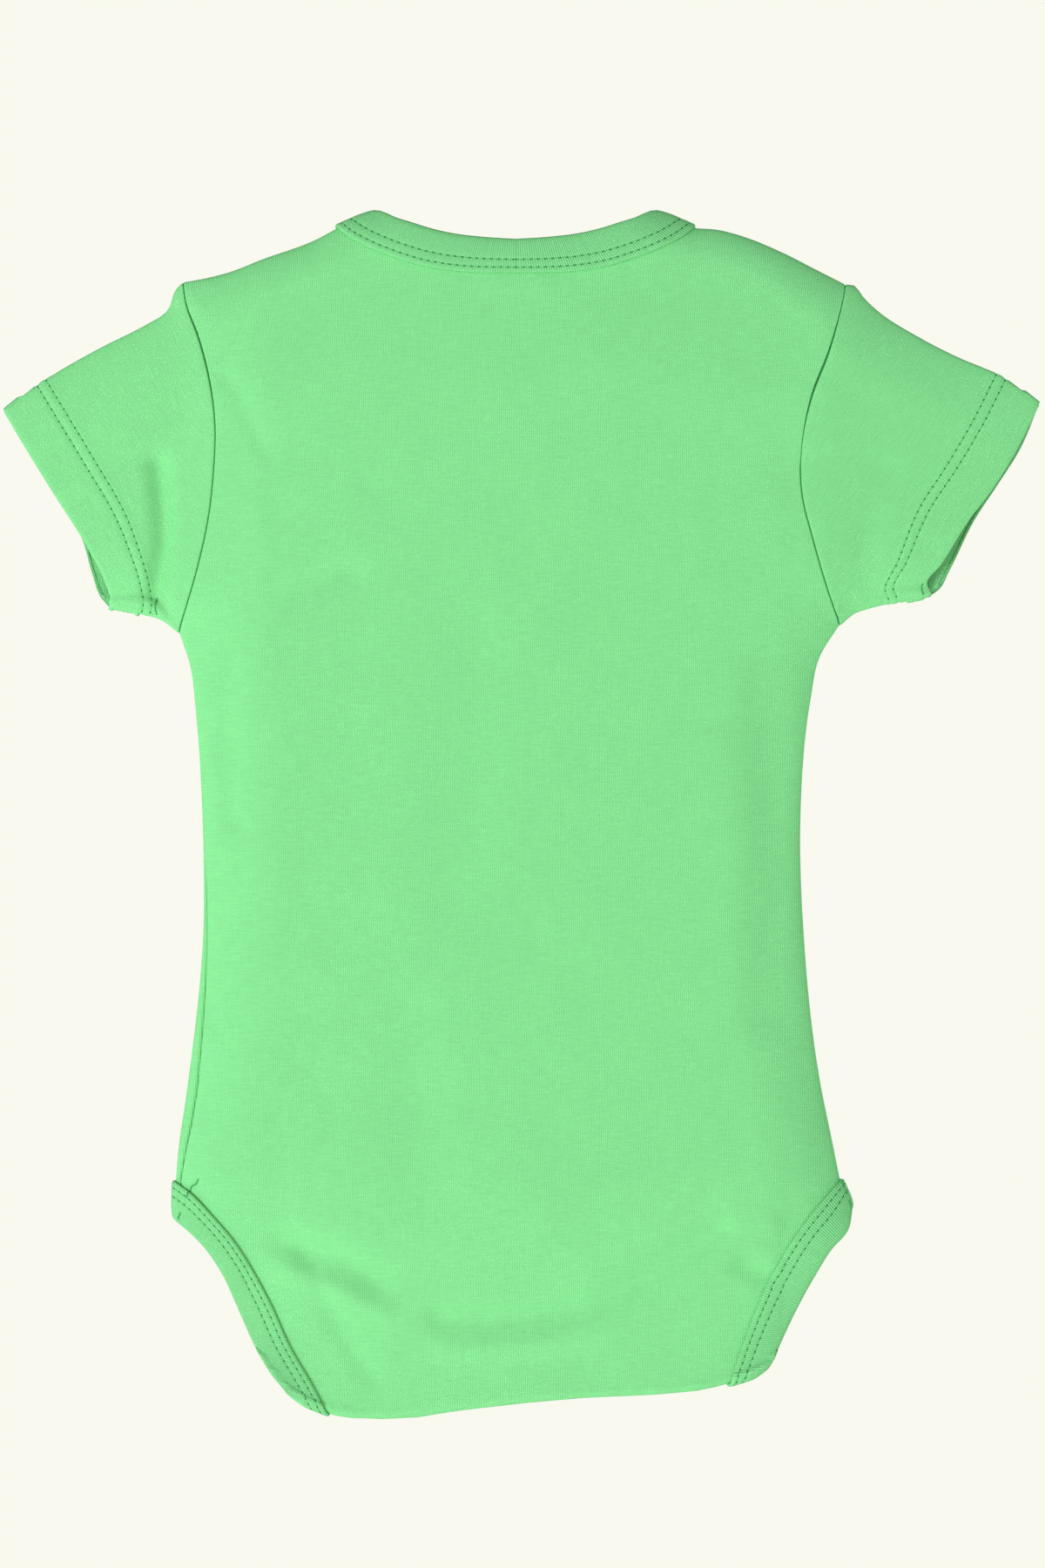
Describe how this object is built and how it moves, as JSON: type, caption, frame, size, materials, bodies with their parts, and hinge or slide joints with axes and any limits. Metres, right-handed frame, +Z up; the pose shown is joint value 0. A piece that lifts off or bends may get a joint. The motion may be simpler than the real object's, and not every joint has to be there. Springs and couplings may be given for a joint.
{
  "type": "infant bodysuit",
  "caption": "Short-sleeved knitted infant bodysuit with a rib-bound neck and legs and a press-stud crotch flap, hung with its back forward.",
  "frame": {"origin": "midway between the neck corners at the height where a hanger carries the shoulders", "axes": "+Z up towards the neck, -Y out of the back of the garment, +X towards the wearer's right sleeve"},
  "size_m": [0.357, 0.024, 0.4135],
  "materials": {
    "body_cloth": "soft cotton interlock knit, matt",
    "rib_binding": "one by one cotton rib, matt",
    "snap_tape": "plain woven cotton tape",
    "label": "blank satin woven label",
    "press_stud": "nickel-free silver plating, satin"
  },
  "bodies": {
    "torso": {"back_panel": "body_cloth", "front_panel": "body_cloth", "left_sleeve_head": "body_cloth", "right_sleeve_head": "body_cloth", "neck_binding": "rib_binding", "back_leg_binding_left": "rib_binding", "back_leg_binding_right": "rib_binding", "front_leg_binding_left": "rib_binding", "front_leg_binding_right": "rib_binding", "front_snap_tape": "snap_tape", "neck_label": "label", "care_label": "label", "left_stud": "press_stud", "middle_stud": "press_stud", "right_stud": "press_stud", "left_tab_ring": "press_stud", "middle_tab_ring": "press_stud", "right_tab_ring": "press_stud"},
    "flap": {"crotch_flap": "body_cloth", "flap_binding_left": "rib_binding", "flap_binding_right": "rib_binding", "flap_snap_tape": "snap_tape", "left_socket": "press_stud", "middle_socket": "press_stud", "right_socket": "press_stud", "left_cap_ring": "press_stud", "middle_cap_ring": "press_stud", "right_cap_ring": "press_stud"},
    "sleeve_left": {"left_sleeve": "body_cloth"},
    "sleeve_right": {"right_sleeve": "body_cloth"}
  },
  "joints": [
    {"name": "crotch_flap_open", "type": "hinge", "parent": "torso", "child": "flap", "pos_m": [0, 0, -0.404], "axis": [-0.9972, 0, -0.0748], "range_deg": [0, 176]},
    {"name": "left_sleeve_fold", "type": "hinge", "parent": "torso", "child": "sleeve_left", "pos_m": [-0.124, 0, -0.0813], "axis": [0, 0, 1], "range_deg": [-90, 90]},
    {"name": "right_sleeve_fold", "type": "hinge", "parent": "torso", "child": "sleeve_right", "pos_m": [0.124, 0, -0.0813], "axis": [0, 0, -1], "range_deg": [-90, 90]}
  ]
}
